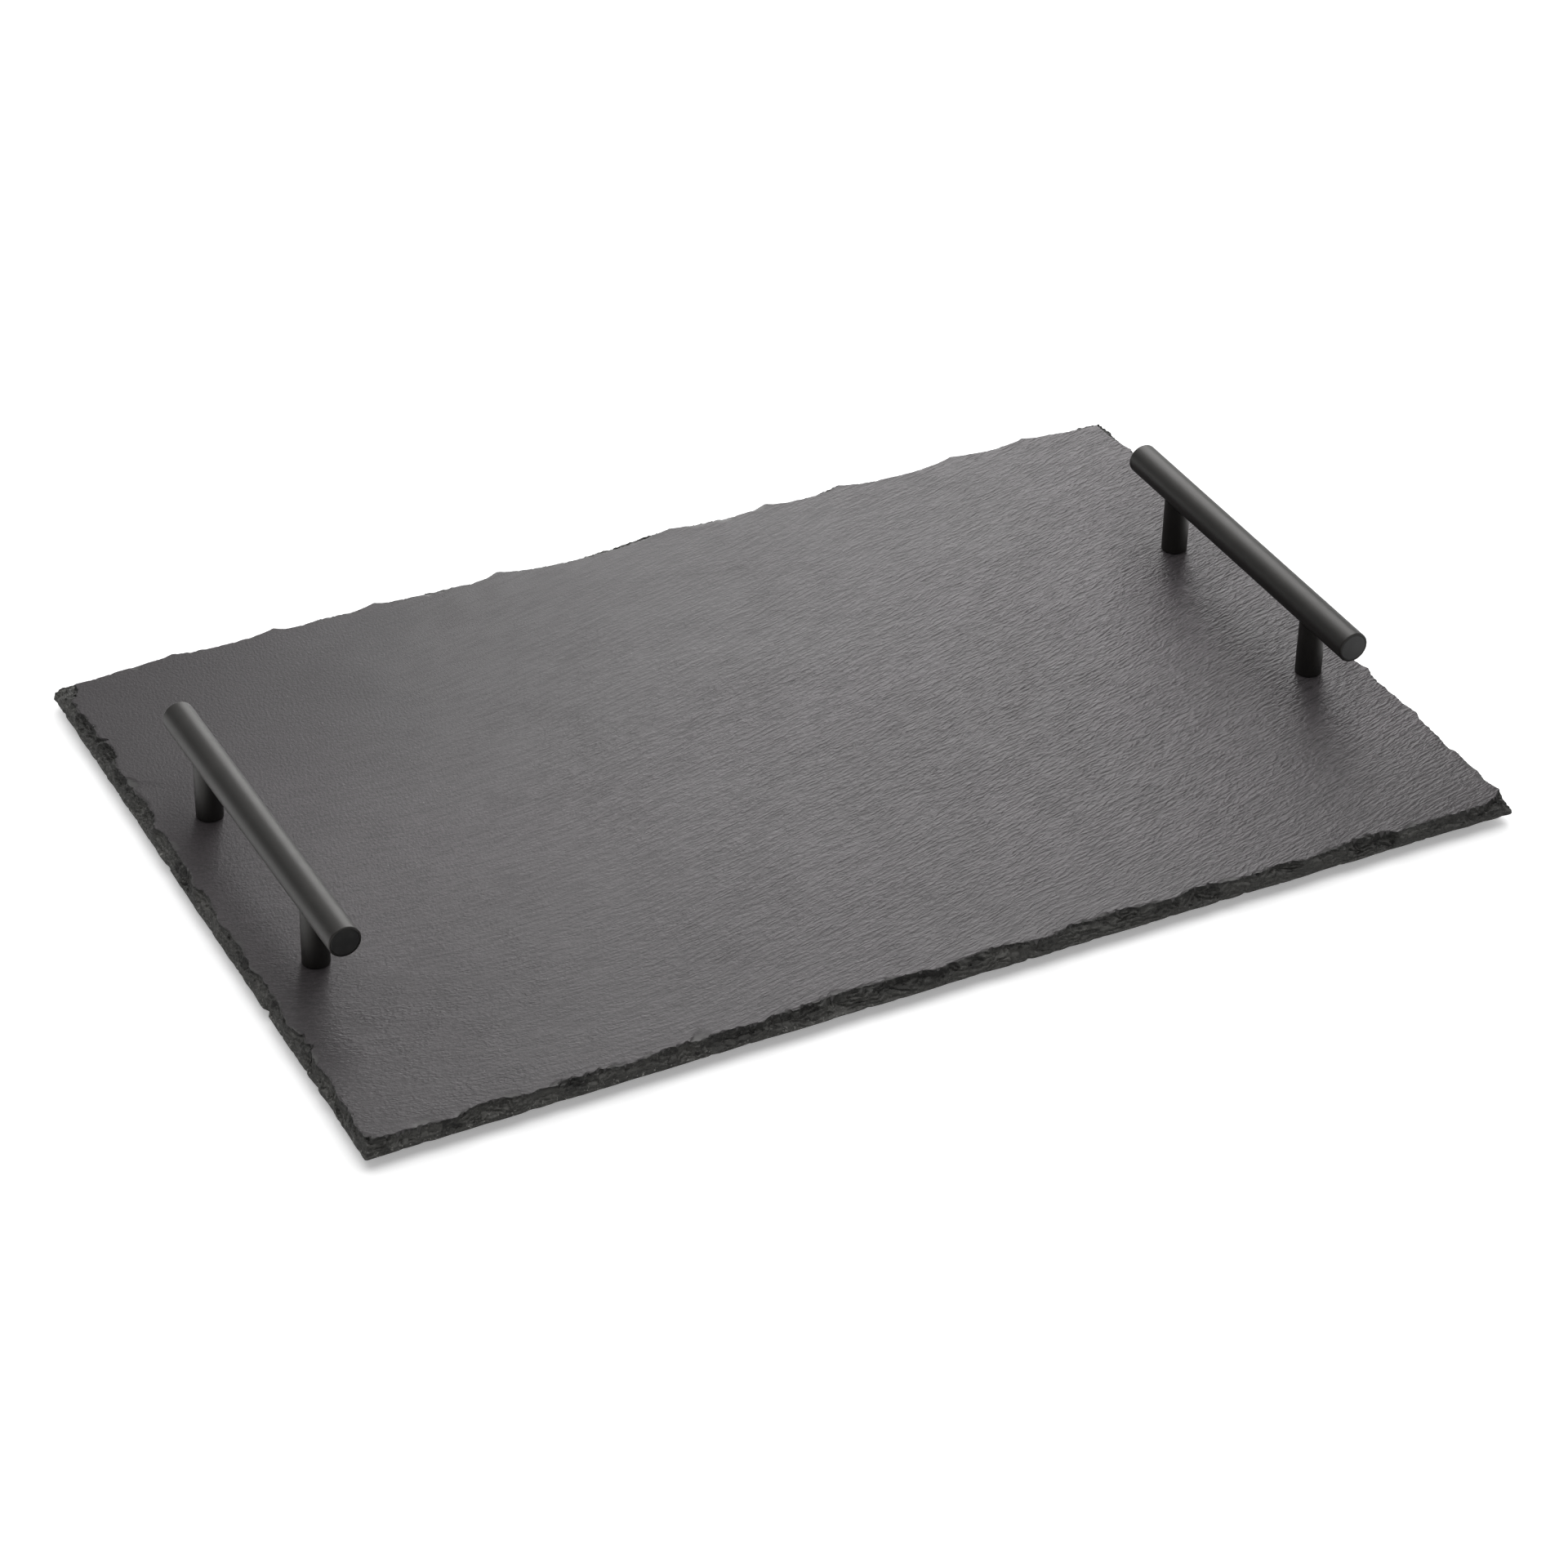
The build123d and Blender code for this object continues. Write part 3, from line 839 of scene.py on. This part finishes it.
def ray_kinds(make):
    """1 on the rays of the camera, of reflections and of clear materials, each by itself."""
    kinds = ("Is Camera Ray", "Is Glossy Ray", "Is Transmission Ray")
    return [make.node("LightPath", out=kind) for kind in kinds]


floor_mesh = bpy.data.meshes.new("floor")
floor_corners = [(x * FLOOR_HALF, y * FLOOR_HALF, 0.0) for x, y in ((-1, -1), (1, -1), (1, 1), (-1, 1))]
floor_mesh.from_pydata(floor_corners, [], [(0, 1, 2, 3)])
floor = bpy.data.objects.new("floor", floor_mesh)
bpy.context.scene.collection.objects.link(floor)
sweep, make, place = new_finish("white_sweep")
camera_ray, glossy_ray, clear_ray = ray_kinds(make)
paper = make.node("BsdfDiffuse", {}, {"Color": PAPER})
glow = make.node("Emission", {}, {"Color": WHITE, "Strength": PAPER_LIFT})
lifted = make.node("AddShader", {}, {0: paper, 1: glow})
plain_white = make.node("Emission", {}, {"Color": WHITE, "Strength": 1.0})
from_tray = make.node("VectorMath", {"operation": "LENGTH"}, {0: place}, out="Value")
backdrop = make.node("MixShader", {}, {0: from_tray.between(0.8, 1.6), 1: lifted, 2: plain_white})
seen = camera_ray.at_least(glossy_ray.at_least(clear_ray))
surface = make.node("MixShader", {}, {0: seen, 1: paper, 2: backdrop})
make.node("OutputMaterial", {}, {"Surface": surface})
floor_mesh.materials.append(sweep)


# The light: a white room, bright behind the tray and dimmer in front of it, which the camera sees as plain
# white. One large softbox hangs over the tray and a smaller one stands behind it to the right.

REARWARD = (0.62, 0.55, 0.56)
studio = bpy.data.worlds.new("studio")
bpy.context.scene.world = studio
studio.use_nodes = True
studio.node_tree.nodes.clear()
make = Shade(studio.node_tree)
camera_ray, glossy_ray, clear_ray = ray_kinds(make)
facing = make.node("TexCoord", out="Generated")
rearward = make.node("VectorMath", {"operation": "DOT_PRODUCT"}, {0: facing, 1: REARWARD}, out="Value")
behind = rearward.between(-0.2, 0.6)


def room(front, lift):
    """White walls with a brightness in front of the tray and a lift of it behind."""
    return make.node("Background", {}, {"Color": WHITE, "Strength": behind * lift + front})


mirrored = glossy_ray.at_least(clear_ray)
bounced = make.node("MixShader", {}, {0: mirrored, 1: room(0.22, 0.40), 2: room(0.12, 0.32)})
plain_white = make.node("Background", {}, {"Color": WHITE, "Strength": 1.0})
walls = make.node("MixShader", {}, {0: camera_ray, 1: bounced, 2: plain_white})
make.node("OutputWorld", {}, {"Surface": walls})


def softbox(name, place, width, height, brightness):
    """A rectangular studio softbox at a place, turned to the tray, with the brightness of its cloth."""
    light = bpy.data.lights.new(name, "AREA")
    light.shape = "RECTANGLE"
    light.size = width
    light.size_y = height
    light.energy = brightness * math.pi * width * height
    lamp = bpy.data.objects.new(name, light)
    bpy.context.scene.collection.objects.link(lamp)
    lamp.location = place
    lamp.rotation_euler = (-Vector(place)).to_track_quat("-Z", "Y").to_euler()


softbox("back_softbox", (0.515, 0.86, 0.60), width=0.64, height=1.0, brightness=3.87)
softbox("top_softbox", (0.0, 0.2, 2.3), width=3.0, height=3.0, brightness=1.45)


# The camera stands to the left of the front and looks down on the tray through a long lens, as the photo's
# did: 28 degrees round, 35 degrees up and rolled a little.

CAMERA_PLACE = (-0.68525, -1.27649, 0.99589)
CAMERA_SWING = math.radians(-28.39)
CAMERA_TILT = math.radians(90 - 34.73)
CAMERA_ROLL = math.radians(1.47)
camera_data = bpy.data.cameras.new("camera")
camera_data.lens = 110.41
camera_data.sensor_width = 36.0
camera_data.clip_end = 200.0
camera = bpy.data.objects.new("camera", camera_data)
bpy.context.scene.collection.objects.link(camera)
camera.matrix_world = (Matrix.Translation(CAMERA_PLACE) @ Matrix.Rotation(CAMERA_SWING, 4, "Z")
                       @ Matrix.Rotation(CAMERA_TILT, 4, "X") @ Matrix.Rotation(CAMERA_ROLL, 4, "Z"))
bpy.context.scene.camera = camera
bpy.context.scene.view_settings.view_transform = "Standard"
